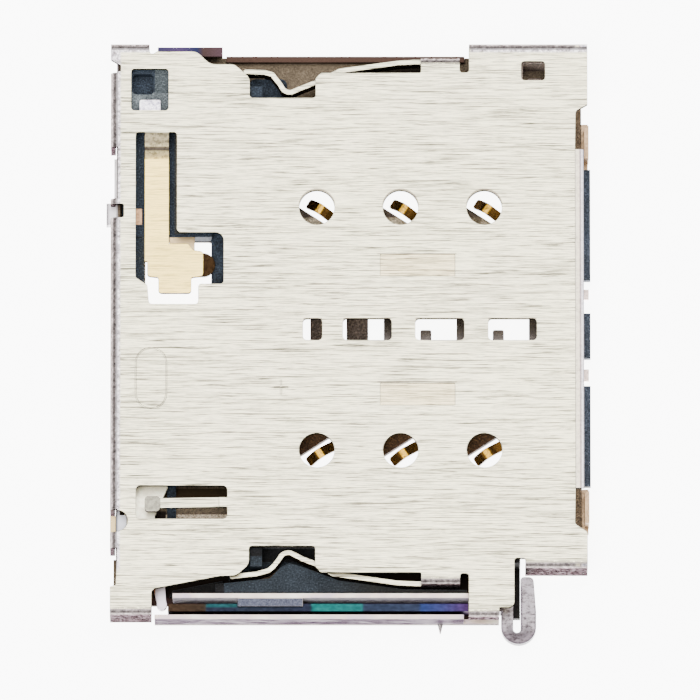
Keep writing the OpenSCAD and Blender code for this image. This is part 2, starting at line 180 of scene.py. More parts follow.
class ReaderSizes(bpy.types.PropertyGroup):
    brush_pitch: length_prop("Brush pitch", "Spacing of the brush lines", 0.023 * MM)
    brush_depth: length_prop("Brush depth", "Depth of the brush lines", 0.0009 * MM)
    grain: length_prop("Moulding grain", "Size of the moulded surface's grain", 0.05 * MM)
    tilt: bpy.props.FloatProperty(
        name="Camera tilt", description="Lean of the camera away from straight down",
        default=math.radians(12.5), subtype="ANGLE")


class Nodes:
    """Builds one node material. Places are in millimetres."""

    def __init__(self, name):
        self.mat = bpy.data.materials.new(name)
        self.mat.use_nodes = True
        self.tree = self.mat.node_tree
        self.shader = self.tree.nodes["Principled BSDF"]
        self.coord = self.tree.nodes.new("ShaderNodeTexCoord")

    def new(self, kind, **values):
        node = self.tree.nodes.new(kind)
        for key, value in values.items():
            setattr(node, key, value)
        return node

    def feed(self, socket, value):
        """Set a number or a colour on a socket, or link another socket to it."""
        if isinstance(value, bpy.types.NodeSocket):
            self.tree.links.new(value, socket)
        elif isinstance(value, tuple):
            socket.default_value = (*value, 1.0)
        elif socket.type == "RGBA":
            socket.default_value = (value, value, value, 1.0)
        else:
            socket.default_value = value

    def place(self, per_mm):
        """Object coordinates in millimetres, times per_mm along each axis."""
        node = self.new("ShaderNodeMapping")
        node.inputs["Scale"].default_value = [k / MM for k in per_mm]
        self.feed(node.inputs["Vector"], self.coord.outputs["Object"])
        return node.outputs["Vector"]

    def noise(self, per_mm, detail=3.0, rough=0.55):
        node = self.new("ShaderNodeTexNoise")
        node.inputs["Scale"].default_value = 1.0
        node.inputs["Detail"].default_value = detail
        node.inputs["Roughness"].default_value = rough
        self.feed(node.inputs["Vector"], self.place(per_mm))
        return node.outputs["Fac"]

    def ramp(self, value, stops):
        """Colours, or plain greys, at places of value between 0 and 1."""
        node = self.new("ShaderNodeValToRGB")
        marks = node.color_ramp.elements
        while len(marks) < len(stops):
            marks.new(0.5)
        for mark, (place, tone) in zip(marks, stops):
            mark.position = place
            mark.color = (tone, tone, tone, 1.0) if isinstance(tone, float) else (*tone, 1.0)
        self.feed(node.inputs["Fac"], value)
        return node.outputs["Color"]

    def bands(self, value, low, high, tones):
        """Colours at places in millimetres between low and high."""
        stops = [((place - low) / (high - low), tone) for place, tone in tones]
        return self.ramp(self.span(value, low, high), stops)

    def three_tones(self, value, dark, middle, pale, start=0.36):
        """Mottling of three colours over a noise."""
        return self.ramp(value, [(start, dark), (0.5, middle), (0.62, pale)])

    def math(self, what, a, b=0.5):
        node = self.new("ShaderNodeMath", operation=what)
        self.feed(node.inputs[0], a)
        self.feed(node.inputs[1], b)
        return node.outputs[0]

    def all_of(self, mask, *others):
        """1 where every mask is 1."""
        for other in others:
            mask = self.math("MULTIPLY", mask, other)
        return mask

    def any_of(self, mask, *others):
        """1 where any mask is 1."""
        for other in others:
            mask = self.math("MAXIMUM", mask, other)
        return mask

    def outside(self, mask):
        """1 where the mask is 0."""
        return self.math("SUBTRACT", 1.0, mask)

    def distance(self, a, b):
        return self.math("SQRT", self.math("ADD", self.math("MULTIPLY", a, a), self.math("MULTIPLY", b, b)))

    def split(self, vector, which):
        node = self.new("ShaderNodeSeparateXYZ")
        self.feed(node.inputs[0], vector)
        return node.outputs[which]

    @cached_property
    def millimetres(self):
        return self.place((1.0, 1.0, 1.0))

    @cached_property
    def x(self):
        return self.split(self.millimetres, 0)

    @cached_property
    def y(self):
        return self.split(self.millimetres, 1)

    @cached_property
    def z(self):
        return self.split(self.millimetres, 2)

    def normal(self, which):
        """One part of the mesh's own normal."""
        return self.split(self.coord.outputs["Normal"], which)

    def span(self, value, low, high):
        """0 at low, 1 at high, and straight between."""
        node = self.new("ShaderNodeMapRange", clamp=True)
        node.inputs["From Min"].default_value = low
        node.inputs["From Max"].default_value = high
        self.feed(node.inputs["Value"], value)
        return node.outputs["Result"]

    def within(self, value, low, high, soft=0.03):
        """1 between low and high, and 0 outside."""
        return self.all_of(self.span(value, low - soft, low), self.span(value, high + soft, high))

    def area(self, x_range, y_range):
        """1 in one zone of the part, seen from above."""
        return self.all_of(self.within(self.x, *x_range), self.within(self.y, *y_range))

    def mix(self, share, a, b, how="MIX"):
        node = self.new("ShaderNodeMix", data_type="RGBA", blend_type=how)
        for place, value in ((0, share), (6, a), (7, b)):
            self.feed(node.inputs[place], value)
        return node.outputs[2]

    def tint(self, tone, by, share=1.0):
        """One colour times another."""
        return self.mix(share, tone, by, "MULTIPLY")

    def bump(self, height, distance, strength, after):
        """Bump laid over another normal; its distance is in metres."""
        node = self.new("ShaderNodeBump")
        node.inputs["Strength"].default_value = strength
        node.inputs["Distance"].default_value = distance
        self.feed(node.inputs["Height"], height)
        self.feed(node.inputs["Normal"], after)
        return node.outputs["Normal"]

    def edge(self, radius, samples=6):
        """A mask of the sharp edges, and the normal rounded over them by a radius in millimetres."""
        bevel = self.new("ShaderNodeBevel", samples=samples)
        bevel.inputs["Radius"].default_value = radius * MM
        true = self.new("ShaderNodeNewGeometry")
        dot = self.new("ShaderNodeVectorMath", operation="DOT_PRODUCT")
        self.feed(dot.inputs[0], bevel.outputs["Normal"])
        self.feed(dot.inputs[1], true.outputs["True Normal"])
        return self.span(dot.outputs["Value"], 0.985, 0.86), bevel.outputs["Normal"]

    def finish(self, colour, rough, metal, normal):
        self.feed(self.shader.inputs["Base Color"], colour)
        self.feed(self.shader.inputs["Roughness"], rough)
        self.feed(self.shader.inputs["Metallic"], metal)
        self.feed(self.shader.inputs["Normal"], normal)
        return self.mat


def scaled(colour, by):
    return tuple(min(1.0, c * by) for c in colour)


def cover_shade_lines(n):
    """Mask of the fine dark lines of painted shade at the stamped rectangles, the sight holes and the
    windows.
    """
    edges = [n.within(n.y, *edge, FINE_LINE) for edge in STAMP_EDGES_Y]
    stamps = n.all_of(n.any_of(*edges), n.within(n.x, *STAMP_X, FINE_LINE))
    across = n.math("ABSOLUTE", n.x)
    across = n.math("MINIMUM", across, n.math("ABSOLUTE", n.math("SUBTRACT", across, HOLE_PITCH)))
    along = n.math("SUBTRACT", n.math("ABSOLUTE", n.y), HOLE_ROW)
    parts = [n.within(n.y, *part, HOLE_RIM_FADE) for part in HOLE_RIM_PARTS_Y]
    rims = n.all_of(n.within(n.distance(across, along), *HOLE_RIM, FINE_LINE), n.any_of(*parts))
    window_y = n.within(n.y, *WINDOW_EDGE_Y, FINE_LINE)
    edges = [n.all_of(window_y, n.within(n.x, *window)) for window in WINDOWS_X]
    return n.any_of(stamps, rims, *edges)


def cover_face(n, face, mottle):
    """Stamped rectangles, fine painted shade lines and a mottled painted shade border where the sheet starts
    to bend, on the brushed sheet.
    """
    stamp = n.all_of(n.span(n.z, COVER_TOP - 0.0005, COVER_TOP - 0.0015),
                     n.span(n.z, COVER_TOP - STAMP_DEPTH, COVER_TOP - STAMP_DEPTH + 0.01),
                     n.area(*STAMPED_FIELD))
    face = n.mix(stamp, face, n.tint(face, (0.93, 0.86, 0.76)))
    # Painted shade: fine dark lines where the sheet's cut walls lie in shade.
    face = n.mix(n.math("MULTIPLY", cover_shade_lines(n), 0.75), face, (0.10, 0.075, 0.06))
    # Painted shade, mottled, on the border where the sheet starts to bend.
    beside_opening = n.any_of(n.span(n.x, 2.1, 2.15), n.span(n.x, -7.4, -7.45))
    upper = n.all_of(n.span(n.y, *UPPER_BEND_Y), beside_opening)
    corner = n.all_of(n.span(n.x, *REAR_BEND_X), n.span(n.y, -7.6, -7.4))
    mottled_light_and_shade = n.three_tones(mottle, (0.15, 0.13, 0.13), (0.48, 0.44, 0.46), (0.85, 0.80, 0.80))
    return n.mix(n.any_of(upper, corner), face, mottled_light_and_shade)


def cover_lip(n, mottle):
    """Mask and colour of the lead-in lip at the tray mouth."""
    mask = n.all_of(n.span(n.x, 5.285, 5.30), n.span(n.z, COVER_TOP - 0.015, COVER_TOP - 0.025))
    tone = n.bands(n.x, *LIP_X, [
        (5.28, (0.12, 0.10, 0.09)), (5.31, (0.62, 0.55, 0.45)), (5.346, (0.72, 0.64, 0.50)),
        (5.418, (0.74, 0.64, 0.50)), (5.445, (0.24, 0.18, 0.20)), (5.472, (0.66, 0.56, 0.56)),
        (5.514, (0.72, 0.66, 0.70)), (5.55, (0.30, 0.28, 0.32)), (5.58, (0.5, 0.47, 0.5))])
    return mask, n.tint(tone, n.ramp(mottle, [(0.35, 0.4), (0.55, 0.9)]), 0.55)


def cover_arm(n, look, streak, mottle):
    """Mask and colour of the detect arm, with bands of painted shade and painted highlight across the bends
    at its root.
    """
    mask = n.any_of(n.area(*ARM_BLADE), n.area(*ARM_FOOT), n.area(*ARM_TIP))
    blade = n.tint(tuple(look.arm), n.tint(WHITE, streak, 0.6))
    # Painted shade and painted highlight: dark and pale bands across the S-bend at the arm's root.
    root = n.bands(n.y, ARM_ROOT_Y, 6.15, [
        (5.3, (0.9, 0.66, 0.21)), (5.419, (0.34, 0.26, 0.12)), (5.555, (0.28, 0.23, 0.12)),
        (5.606, (0.05, 0.04, 0.03)), (5.674, (0.07, 0.055, 0.04)), (5.725, (0.42, 0.35, 0.20)),
        (5.827, (0.20, 0.165, 0.10)), (5.98, (0.30, 0.25, 0.15)), (6.15, (0.14, 0.12, 0.08))])
    root = n.tint(root, n.ramp(mottle, [(0.38, 0.35), (0.55, 0.8)]))
    return mask, n.mix(n.span(n.y, ARM_ROOT_Y, ARM_ROOT_Y + 0.06), blade, root)


def cover_folds(n, look, mottle, upright, cut):
    """Colour of the folds and walls, set darker in part as painted shade, of the cut edges with painted
    highlight and shade, and of the lower spring's side as painted shade.
    """
    # The folds' mottled tone is their rough drawn finish, set much darker than the faces as painted shade.
    tone = n.ramp(mottle, [(0.34, scaled(look.fold, 0.45)), (0.45, tuple(look.fold)),
                           (0.54, scaled(look.fold, 1.25)), (0.64, scaled(look.fold, 2.2))])
    # Painted shade: walls facing -Y are darker still.
    lower_wall = n.all_of(upright, n.span(n.normal(1), -0.3, -0.7))
    shaded_lower_wall_tone = n.three_tones(mottle, (0.055, 0.042, 0.045), (0.12, 0.095, 0.105), (0.20, 0.165, 0.18))
    tone = n.mix(lower_wall, tone, shaded_lower_wall_tone)
    # Painted highlight on cut edges facing +Y, painted shade on those facing -Y.
    cut_edge_light_and_shade = n.mix(n.span(n.normal(1), 0.1, -0.3), (0.62, 0.56, 0.44), (0.035, 0.028, 0.024))
    tone = n.mix(cut, tone, cut_edge_light_and_shade)
    # Painted shade on the lower spring's upright side.
    spring = n.all_of(upright, n.span(n.z, 1.06, 1.04), n.span(n.x, -5.3, -5.2),
                      n.span(n.x, 0.62, 0.6), n.span(n.y, -8.2, -8.1))
    return n.mix(spring, tone, (0.10, 0.075, 0.05))


def cover_material(look, sizes):
    """Sheet brushed along X on its faces, mottled lilac on the folds, warm on the detect arm, with painted
    shade and painted highlights on its bends, edges, walls, pad and catch.
    """
    n = Nodes("cover brushed sheet")
    lines_per_mm = MM / sizes.brush_pitch
    lines = n.noise((0.9, lines_per_mm, 1.0), 3.0, 0.75)
    long_lines = n.noise((0.4, lines_per_mm * 0.8, 1.0), 2.0, 0.6)
    cloud = n.noise((0.25, 0.3, 0.3), 2.0)
    mottle = n.noise((9.0, 9.0, 9.0), 4.0, 0.7)
    streak = n.ramp(lines, [
        (0.35, 0.06), (0.43, 0.46), (0.49, 0.94), (0.55, 1.0), (0.61, 0.80), (0.69, 0.46)])
    broad = n.ramp(long_lines, [(0.34, 0.30), (0.41, 0.72), (0.47, 1.0), (0.66, 0.90)])
    face = n.tint(n.tint(tuple(look.cover), streak), broad)
    face = n.tint(face, n.ramp(cloud, [(0.3, (0.97, 0.96, 0.97)), (0.7, (1.0, 1.0, 0.98))]))
    face = cover_face(n, face, mottle)
    lip, lip_tone = cover_lip(n, mottle)
    face = n.mix(lip, face, lip_tone)
    arm, arm_tone = cover_arm(n, look, streak, mottle)
    face = n.mix(arm, face, arm_tone)
    underside = COVER_TOP - SHEET
    # Painted shade: the finger's bent-down pad below the cover is darkened.
    pad = n.all_of(n.span(n.x, -7.25, -7.29), n.span(n.z, underside, underside - 0.005),
                   n.span(n.y, -5.1, -5.15))
    face = n.mix(pad, face, n.ramp(mottle, [(0.35, (0.15, 0.14, 0.11)), (0.6, (0.27, 0.255, 0.20))]))
    # Painted highlight: the bent-down catch tab is painted pale lilac to white.
    catch = n.three_tones(mottle, (0.30, 0.27, 0.36), (0.72, 0.68, 0.76), WHITE)
    face = n.mix(n.area(*CATCH), face, catch)

    # Arm, holding finger and lip slope a little, and count as faces all the same.
    finger = n.all_of(n.span(n.x, -5.2, -5.3), n.span(n.y, -5.1, -5.2),
                      n.span(n.y, -5.6, -5.55), n.span(n.x, -7.9, -7.8))
    sloping = n.any_of(arm, finger, lip)
    facing = n.math("ABSOLUTE", n.normal(2))
    flat = n.any_of(n.span(facing, 0.955, 0.985), n.all_of(sloping, n.span(facing, 0.6, 0.7)))
    upright = n.span(facing, 0.45, 0.2)
    cut = n.all_of(upright, n.span(n.z, underside - 0.01, underside + 0.01))
    colour = n.mix(flat, cover_folds(n, look, mottle, upright, cut), face)
    # Painted shade: a mottled dark line where the faces start to bend.
    bend_shade = n.all_of(n.span(facing, 0.9999, 0.9985), n.span(facing, 0.93, 0.98),
                          n.span(mottle, 0.40, 0.50), n.outside(sloping))
    colour = n.mix(n.math("MULTIPLY", bend_shade, 0.6), colour, (0.10, 0.085, 0.08))

    edge, rounded = n.edge(0.026, 8)
    lower_edge = n.span(n.split(rounded, 1), -0.08, -0.30)
    # Painted highlight along the edges, and painted shade along edges facing -Y and on the arm's and pad's
    # edges.
    edge_highlight_and_shade = n.mix(n.any_of(lower_edge, arm, pad), (0.93, 0.88, 0.78), (0.045, 0.032, 0.025))
    colour = n.mix(n.all_of(edge, n.math("MULTIPLY", flat, 0.8)), colour, edge_highlight_and_shade)
    rough = n.mix(flat, 0.36, n.ramp(lines, [(0.3, 0.46), (0.6, 0.33)]))
    depth = n.math("MULTIPLY", n.mix(0.35, lines, long_lines), flat)
    normal = n.bump(depth, sizes.brush_depth, 0.9, rounded)
    normal = n.bump(n.all_of(mottle, n.outside(flat)), 0.006 * MM, 0.8, normal)
    # Painted shade: reflections on the folds and cut edges are tinted dark.
    fold_reflection_shade = n.three_tones(mottle, (0.07, 0.065, 0.06), (0.20, 0.185, 0.18), (0.36, 0.335, 0.34), 0.38)
    fold_reflection_shade = n.mix(cut, fold_reflection_shade, (0.02, 0.015, 0.012))
    n.feed(n.shader.inputs["Specular Tint"], n.mix(flat, fold_reflection_shade, WHITE))
    return n.finish(colour, rough, 1.0, normal)


def housing_material(look, sizes):
    """Glass-filled moulding: dark blue-grey with pale specks, browner round the contacts, with painted shade
    in its gaps, painted light below the upper sight holes and painted highlights on its edges.
    """
    n = Nodes("housing glass filled moulding")
    grains_per_mm = MM / sizes.grain
    grain = n.noise((grains_per_mm,) * 3, 4.0, 0.7)
    patch = n.noise((1.4, 1.4, 1.4), 3.0)
    inner = n.all_of(n.span(n.x, 5.2, 5.1), n.span(n.x, -5.4, -5.3),
                     n.span(n.math("ABSOLUTE", n.y), 6.6, 6.5))
    plain = n.mix(inner, tuple(look.housing), (0.080, 0.060, 0.048))
    # Painted light: a pale mottled patch on the floor below the upper sight holes.
    painted_light_tone = n.ramp(patch, [(0.4, (0.20, 0.16, 0.11)), (0.6, (0.42, 0.36, 0.27))])
    tone = n.mix(n.area(*UPPER_CONTACT_ROW), plain, painted_light_tone)
    low, high = TAB_ENDS_Y
    ends = n.any_of(n.span(n.y, high, high + 0.05), n.span(n.y, low, low - 0.05))
    tone = n.mix(n.all_of(n.span(n.x, 5.05, 5.1), ends), tone, (0.16, 0.115, 0.075))
    front = n.all_of(n.span(n.x, *MOUTH_FACE_X), n.within(n.y, low, high))
    tone = n.mix(front, tone, (0.050, 0.062, 0.088))
    shadow = n.all_of(n.span(n.x, -2.6, -0.8), n.within(n.y, -9.0, -6.8))
    tone = n.mix(shadow, tone, (0.010, 0.011, 0.011))
    for x_range, y_range, colour in HOUSING_ZONES:
        tone = n.mix(n.area(x_range, y_range), tone, colour)
    tone = n.mix(n.span(n.z, *UNDERSIDE), plain, tone)
    tone = n.mix(n.within(n.y, -9.0, -6.9), tone, n.tint(tone, (0.80, 0.76, 0.68)))
    tone = n.tint(tone, n.ramp(patch, [(0.3, 0.7), (0.7, 1.3)]))
    colour = n.tint(tone, n.ramp(grain, [(0.38, 0.45), (0.50, 0.9), (0.58, 1.2), (0.68, 2.6)]))
    edge, rounded = n.edge(0.02)
    # Painted highlight: pale lines along the edges.
    colour = n.mix(n.math("MULTIPLY", edge, 0.25), colour, (0.16, 0.18, 0.20))
    n.shader.inputs["Specular IOR Level"].default_value = 0.12
    rough = n.ramp(grain, [(0.3, 0.72), (0.7, 0.5)])
    return n.finish(colour, rough, 0.0, n.bump(grain, 0.004 * MM, 0.7, rounded))


def floor_tone(n, look, speck, soft):
    """Colour of the floor: brown-grey, darker as painted shade in the cover's shade, and lighter as painted
    light in the lower part of the finger slot.
    """
    plain = n.tint(n.ramp(soft, [(0.3, scaled(look.floor, 0.75)), (0.7, scaled(look.floor, 1.2))]),
                   n.ramp(speck, [(0.36, 0.45), (0.5, 1.0), (0.64, 1.6)]))
    upper_wall = n.all_of(n.span(n.y, 8.50, 8.54), n.span(n.z, 0.15, 0.3))
    tone = n.mix(upper_wall, plain, (0.050, 0.029, 0.022))
    # Painted shade in the finger slot's upper part, painted light in its lower part.
    tone = n.mix(n.area(*FINGER_SLOT_UPPER), tone, (0.032, 0.022, 0.012))
    mottled_light_and_shade = n.ramp(speck, [(0.4, (0.13, 0.10, 0.07)), (0.6, (0.56, 0.46, 0.34))])
    tone = n.mix(n.area(*FINGER_SLOT_LOWER), tone, mottled_light_and_shade)
    shade = n.any_of(*[n.area(*zone) for zone in FLOOR_SHADE])
    tone = n.mix(shade, tone, (0.012, 0.009, 0.007))
    return n.mix(n.span(n.z, *UNDERSIDE), plain, tone)


def channel_tone(n, look, soft, up):
    """Colour of the two walls of the rod's channel; the inner side's pale tone is partly painted light, and
    the outer side is darkened as painted shade.
    """
    top = n.ramp(soft, [(0.3, (0.52, 0.42, 0.50)), (0.5, tuple(look.rim)), (0.7, (0.80, 0.74, 0.66))])
    side = n.ramp(n.noise((3.5, 6.0, 11.0), 3.0, 0.7), [
        (0.36, (0.50, 0.43, 0.52)), (0.48, (0.80, 0.74, 0.82)), (0.60, (0.98, 0.92, 0.95))])
    # Painted shade: the outer side is darkened.
    side = n.mix(n.span(n.y, -8.6, -8.7), side, n.tint(side, (0.10, 0.09, 0.10)))
    return n.mix(up, side, top)


def floor_material(look):
    """Floor plate: brown-grey floor, pale channel walls, violet tint at the tall rear lip, with painted shade
    and painted highlights on its gaps, channel, edges and lugs.
    """
    n = Nodes("floor plate satin")
    speck = n.noise((30.0, 32.0, 30.0), 4.0, 0.75)
    soft = n.noise((1.2, 2.5, 1.2), 3.0)
    up = n.span(n.normal(2), 0.5, 0.8)
    channel = n.all_of(n.span(n.y, *CHANNEL_Y), n.span(n.z, *CHANNEL_Z))
    colour = n.mix(channel, floor_tone(n, look, speck, soft), channel_tone(n, look, soft, up))
    # Painted shade on the channel's floor.
    trough_shade = n.all_of(n.span(n.z, 0.2, 0.15), up, n.span(n.y, -8.05, -8.1))
    colour = n.mix(trough_shade, colour, (0.035, 0.02, 0.018))

    corner = n.all_of(n.span(n.x, -5.2, -5.4), n.span(n.y, 8.5, 8.56), n.span(n.z, 0.5, 0.6))
    colour = n.mix(corner, colour, n.bands(n.x, *CORNER_TINT_X, [
        (-7.4, (0.034, 0.030, 0.066)), (-6.7, (0.055, 0.036, 0.088)), (-6.2, (0.018, 0.022, 0.058)),
        (-6.0, (0.046, 0.028, 0.026)), (-5.4, (0.055, 0.032, 0.039))]))
    bridge = n.all_of(n.span(n.y, -8.23, -8.27), n.span(n.x, -5.0, -4.95), n.span(n.x, -2.92, -2.98),
                      n.span(n.y, -8.75, -8.7), n.span(n.z, 0.86, 0.88))
    slate = n.ramp(speck, [(0.4, (0.034, 0.036, 0.054)), (0.6, (0.09, 0.094, 0.125))])
    colour = n.mix(bridge, colour, slate)
    # Painted highlight across the latch lug's face, with painted shade at both sides.
    lug = n.all_of(n.span(n.x, -8.55, -8.6), n.span(n.y, 2.9, 3.2))
    colour = n.mix(lug, colour, n.bands(n.x, *REAR_LUG_X, [
        (-8.9, (0.22, 0.20, 0.21)), (-8.83, (0.70, 0.66, 0.68)),
        (-8.6375, (0.72, 0.68, 0.68)), (-8.585, (0.08, 0.06, 0.06))]))
    # The near-black band is a painted shadow in the gap between the tab and the rivet head.
    rear_tab = n.all_of(n.span(n.x, -8.2, -8.28), n.span(n.z, 0.42, 0.46), n.span(n.y, -5.2, -5.4))
    colour = n.mix(rear_tab, colour, n.bands(n.x, *REAR_TAB_X, [
        (-8.8, (0.62, 0.46, 0.22)), (-8.645, (0.60, 0.46, 0.24)), (-8.615, (0.05, 0.045, 0.045)),
        (-8.57, (0.30, 0.30, 0.33)), (-8.55, (0.52, 0.52, 0.55))]))

    edge, rounded = n.edge(0.015)
    # Painted highlight along the channel's edges, painted shade along the rear edges.
    colour = n.mix(n.all_of(edge, n.math("MULTIPLY", channel, 0.5)), colour, (0.80, 0.72, 0.68))
    colour = n.mix(n.all_of(edge, n.span(n.x, -8.15, -8.25)), colour, (0.05, 0.04, 0.04))
    wall = n.all_of(channel, n.outside(up))
    # Painted shade: the channel walls' reflections are tinted dark and mottled.
    painted_light_tone = n.three_tones(n.noise((1.6, 5.0, 7.0), 3.0, 0.7),
                         (0.16, 0.14, 0.15), (0.40, 0.375, 0.40), (0.75, 0.72, 0.73), 0.38)
    n.feed(n.shader.inputs["Specular Tint"], n.mix(wall, WHITE, painted_light_tone))
    metal = n.outside(n.all_of(wall, n.span(n.y, -8.5, -8.4)))
    rough = n.ramp(speck, [(0.3, 0.55), (0.7, 0.4)])
    return n.finish(colour, rough, metal, n.bump(speck, 0.003 * MM, 0.5, rounded))


def hook_steel(n, mottle, off_x, off_y):
    """Bare steel of the hook, with circles of painted highlight and shade round its bend and painted shade on
    its lower part.
    """
    bare = n.ramp(mottle, [(0.34, (0.20, 0.17, 0.18)), (0.46, (0.42, 0.385, 0.385)),
                           (0.56, (0.52, 0.49, 0.50)), (0.68, (0.30, 0.26, 0.29))])
    # Painted highlight and shade in circles round the bend.
    bend_light_rings = n.ramp(n.distance(off_x, off_y), [
        (0.10, 0.5), (0.17, 1.15), (0.24, 0.7), (0.36, 0.85), (0.43, 1.35), (0.49, 1.2), (0.53, 0.6)])
    bare = n.mix(n.span(n.y, -8.9, -9.1), bare, n.tint(bare, bend_light_rings))
    # Painted shade: the hook's lower part is darker.
    bare = n.mix(n.span(n.y, -8.95, -9.3), bare, n.tint(bare, (0.42, 0.39, 0.41)))
    return n.tint(bare, (0.45, 0.43, 0.45))


def rod_material():
    """Push rod: bands of painted reflection and painted shade along the channel, bare steel at the hook."""
    n = Nodes("rod painted reflections")
    mottle = n.noise((7.0, 12.0, 12.0), 4.0, 0.7)
    wavy_x = n.math("ADD", n.x, n.math("MULTIPLY", n.math("SUBTRACT", mottle, 0.5), 0.08))
    # Painted reflections: teal, navy and violet bands where the shiny rod, in shade, mirrors its
    # surroundings.
    tint = n.bands(wavy_x, *ROD_REFLECTIONS_X, [
        (-7.1, (0.045, 0.028, 0.02)), (-5.9, (0.035, 0.025, 0.02)), (-5.86, (0.015, 0.075, 0.10)),
        (-4.98, (0.02, 0.08, 0.10)), (-4.93, (0.022, 0.028, 0.05)), (-2.72, (0.02, 0.024, 0.05)),
        (-2.66, (0.012, 0.15, 0.16)), (-1.17, (0.015, 0.13, 0.15)), (-1.12, (0.025, 0.035, 0.07)),
        (0.55, (0.03, 0.04, 0.085)), (0.62, (0.025, 0.045, 0.17)), (1.3, (0.04, 0.045, 0.17)),
        (2.0, (0.065, 0.03, 0.13)), (2.5, (0.25, 0.20, 0.27)), (2.85, (0.42, 0.38, 0.39))])
    # Painted shade on the rod's -Y side.
    tint = n.mix(n.area(*ROD_DARK_PATCH), tint, (0.02, 0.025, 0.05))
    tint = n.tint(tint, (0.47, 0.45, 0.39))
    off_x = n.math("SUBTRACT", n.x, HOOK_MIDDLE[0])
    off_y = n.math("SUBTRACT", n.y, HOOK_MIDDLE[1])
    colour = n.mix(n.span(n.x, *HOOK_START_X), tint, hook_steel(n, mottle, off_x, off_y))
    from_middle = n.distance(off_x, n.math("MINIMUM", off_y, 0.0))
    # Painted shade: a dark rim round the hook's sides.
    hook_outline_shade = n.ramp(from_middle, [(0.09, 0.8), (0.13, 0.0), (0.46, 0.0), (0.52, 0.75)])
    hook_outline_shade = n.all_of(hook_outline_shade, n.span(n.x, 2.98, 3.02), n.span(n.y, -7.7, -7.9))
    colour = n.mix(hook_outline_shade, colour, (0.055, 0.042, 0.055))
    colour = n.tint(colour, n.ramp(mottle, [(0.3, 0.55), (0.5, 1.0), (0.7, 1.4)]), 0.7)
    edge, rounded = n.edge(0.03)
    # Painted shade on the hook's edges.
    colour = n.mix(n.all_of(edge, n.math("MULTIPLY", n.span(n.x, 2.6, 3.0), 0.6)), colour, (0.10, 0.08, 0.09))
    rough = n.ramp(mottle, [(0.3, 0.45), (0.7, 0.3)])
    return n.finish(colour, rough, 1.0, n.bump(mottle, 0.006 * MM, 0.6, rounded))


def plated_material(name, colour, dark, rough, per_mm=12.0, paint=None):
    """Satin plating with fine mottle; paint(n, tone) may tint some of it."""
    n = Nodes(name)
    mottle = n.noise((per_mm,) * 3, 3.0, 0.65)
    wide = n.noise((2.0, 2.0, 2.0), 2.0)
    tone = n.ramp(mottle, [(0.33, scaled(colour, dark)), (0.5, tuple(colour)), (0.65, scaled(colour, 1.08))])
    tone = n.tint(tone, n.ramp(wide, [(0.3, 0.85), (0.7, 1.0)]), 0.6)
    if paint:
        tone = paint(n, tone)
    rounded = n.edge(0.015)[1]
    rough_tone = n.ramp(mottle, [(0.3, rough + 0.12), (0.7, rough)])
    return n.finish(tone, rough_tone, 1.0, n.bump(mottle, 0.003 * MM, 0.5, rounded))


def contact_light_and_shade(n, tone):
    """Bright only on the crown, where the plating wears; the sloping beam and the tip are darkened as painted
    shade, and the flat tail is darkest as painted shadow.
    """
    beam = n.mix(n.span(n.z, 0.79, 0.81), (0.085, 0.045, 0.014), tone)
    beam = n.mix(n.span(n.z, 0.60, 0.74), (0.11, 0.055, 0.012), beam)
    return n.mix(n.span(n.z, 0.12, 0.3), (0.07, 0.06, 0.055), beam)


def terminal_tints(n, tone):
    """Only the half-round end is dark."""
    return n.mix(n.span(n.x, -6.1, -6.02), (0.42, 0.31, 0.17), tone)


def lever_tints(n, tone):
    """The lower arm is bare, with a dark brown edge of painted shade on its rear side."""
    # Painted shade: dark brown along the arm's rear edge.
    arm = n.bands(n.x, *LEVER_ARM_X, [
        (-7.53, (0.12, 0.05, 0.02)), (-7.446, (0.16, 0.07, 0.03)),
        (-7.41, (0.40, 0.36, 0.40)), (-7.29, (0.62, 0.57, 0.62))])
    return n.mix(n.span(n.y, -7.2, -7.4), tone, arm)


def dress(names, material):
    for name in names:
        mesh = NODES[name].data
        mesh.materials.clear()
        mesh.materials.append(material)


def mesh_piece(name, bm, material, body):
    mesh = bpy.data.meshes.new(name)
    bm.to_mesh(mesh)
    bm.free()
    mesh.materials.append(material)
    piece = bpy.data.objects.new(name, mesh)
    bpy.context.scene.collection.objects.link(piece)
    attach(piece, body)
    return piece


class READER_OT_cover(bpy.types.Operator):
    """Dress the sheet metal cover with its springs and detect arm"""
    bl_idname = "reader.cover"
    bl_label = "Cover"

    def execute(self, context):
        dress(["shell"], cover_material(context.scene.reader_finish, context.scene.reader_sizes))
        return {"FINISHED"}


class READER_OT_housing(bpy.types.Operator):
    """Dress the moulded base"""
    bl_idname = "reader.housing"
    bl_label = "Housing"

    def execute(self, context):
        dress(["base"], housing_material(context.scene.reader_finish, context.scene.reader_sizes))
        return {"FINISHED"}


class READER_OT_floor_plate(bpy.types.Operator):
    """Dress the floor plate and leave the cut carrier nib on its outer wall"""
    bl_idname = "reader.floor_plate"
    bl_label = "Floor plate"

    def execute(self, context):
        dress(["bottom_plate"], floor_material(context.scene.reader_finish))
        bm = bmesh.new()
        bmesh.ops.create_cone(bm, cap_ends=True, segments=10, radius1=NIB_RADII[0] * MM,
                              radius2=NIB_RADII[1] * MM, depth=NIB_LENGTH * MM)
        bmesh.ops.scale(bm, verts=bm.verts, vec=(1.0, 0.5, 1.0))
        bmesh.ops.rotate(bm, verts=bm.verts, matrix=Matrix.Rotation(math.radians(90), 3, "X"))
        place = Vector(NIB_PLACE) * MM + Vector((0.0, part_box("bottom_plate")[0].y, 0.0))
        bmesh.ops.translate(bm, verts=bm.verts, vec=place)
        steel = plated_material("nib cut steel", (0.30, 0.27, 0.26), 0.6, 0.35)
        mesh_piece("carrier_nib", bm, steel, "reader")
        return {"FINISHED"}


